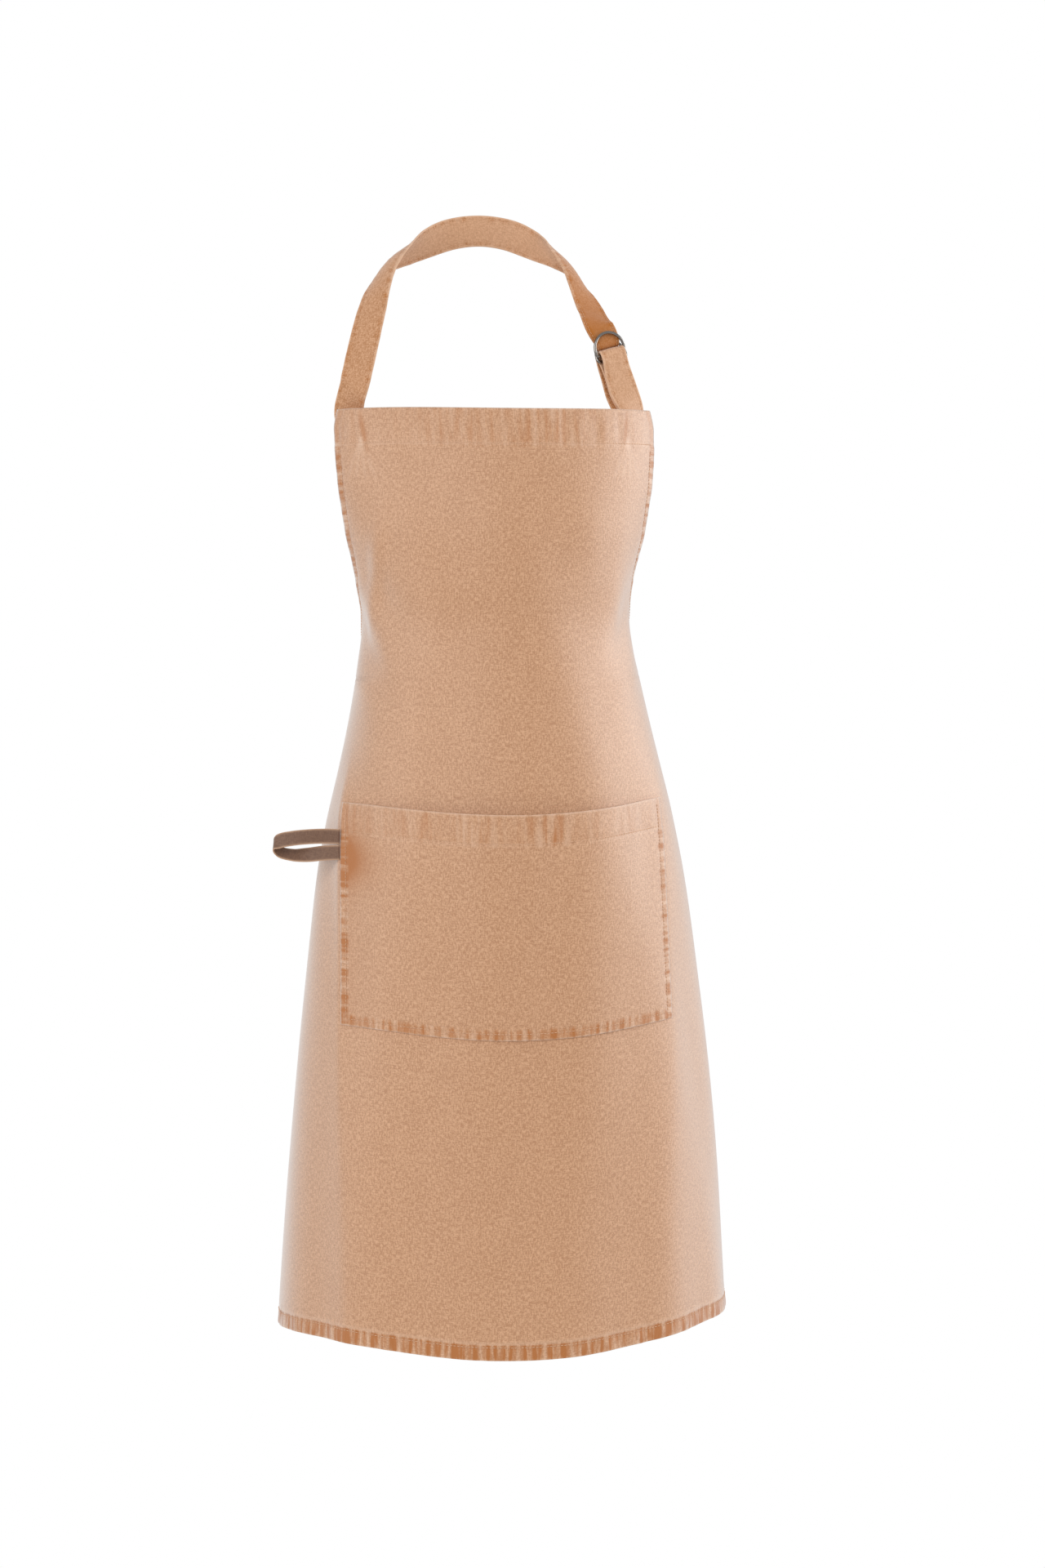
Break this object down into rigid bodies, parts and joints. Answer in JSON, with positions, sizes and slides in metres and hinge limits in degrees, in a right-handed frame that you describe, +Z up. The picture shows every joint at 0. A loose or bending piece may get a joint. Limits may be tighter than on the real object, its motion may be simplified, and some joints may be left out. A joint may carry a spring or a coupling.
{
  "type": "bib apron",
  "caption": "Bib apron in tan washed canvas with an adjustable neck strap on twin D-rings, a wide front patch pocket, a brown hanging loop and waist ties tied at the back.",
  "frame": {"origin": "middle of the inner face of the neck strap, where it rests on the nape of the neck", "axes": "+Z up, towards the top of the neck strap; the front of the apron faces -Y; +X to the right as seen from the front"},
  "size_m": [0.4327, 0.2662, 1.0811],
  "materials": {
    "canvas": "washed cotton canvas, matt, heathered tan",
    "canvas_strap": "the same canvas folded and edge stitched",
    "thread": "matching cotton thread",
    "brown_tape": "woven twill tape, grey-brown",
    "nickel_wire": "bright nickel plating on steel wire"
  },
  "bodies": {
    "apron": {"body_panel": "canvas", "bib_top_hem": "canvas", "armhole_hem_left": "canvas", "armhole_hem_right": "canvas", "side_hem_left": "canvas", "side_hem_right": "canvas", "bottom_hem": "canvas", "pocket_panel": "canvas", "pocket_top_hem": "canvas", "pocket_turning_left": "canvas", "pocket_turning_right": "canvas", "pocket_turning_bottom": "canvas", "ring_strap": "canvas_strap", "neck_strap": "canvas_strap", "waist_tie_left": "canvas_strap", "waist_tie_right": "canvas_strap", "thread_top_hem": "thread", "thread_bottom_hem": "thread", "thread_pocket_hem": "thread", "thread_pocket_bottom": "thread", "thread_pocket_left": "thread", "thread_pocket_right": "thread", "thread_armhole_left": "thread", "thread_armhole_right": "thread", "thread_side_left": "thread", "thread_side_right": "thread"},
    "front_ring": {"d_ring_front": "nickel_wire"},
    "back_ring": {"d_ring_back": "nickel_wire"},
    "towel_loop": {"hanging_loop": "brown_tape"}
  },
  "joints": [
    {"name": "front_ring_swing", "type": "hinge", "parent": "apron", "child": "front_ring", "pos_m": [0.1165, -0.10503, -0.13062], "axis": [0.8816, 0.3359, 0.3316], "range_deg": [0, 60]},
    {"name": "back_ring_swing", "type": "hinge", "parent": "apron", "child": "back_ring", "pos_m": [0.11832, -0.10204, -0.13643], "axis": [0.9068, 0.3341, 0.2572], "range_deg": [-12, 0]},
    {"name": "towel_loop_swing", "type": "hinge", "parent": "apron", "child": "towel_loop", "pos_m": [-0.13276, -0.10888, -0.59388], "axis": [0, 0, 1], "range_deg": [-8, 70], "stiffness_Nm_per_rad": 0.002}
  ]
}
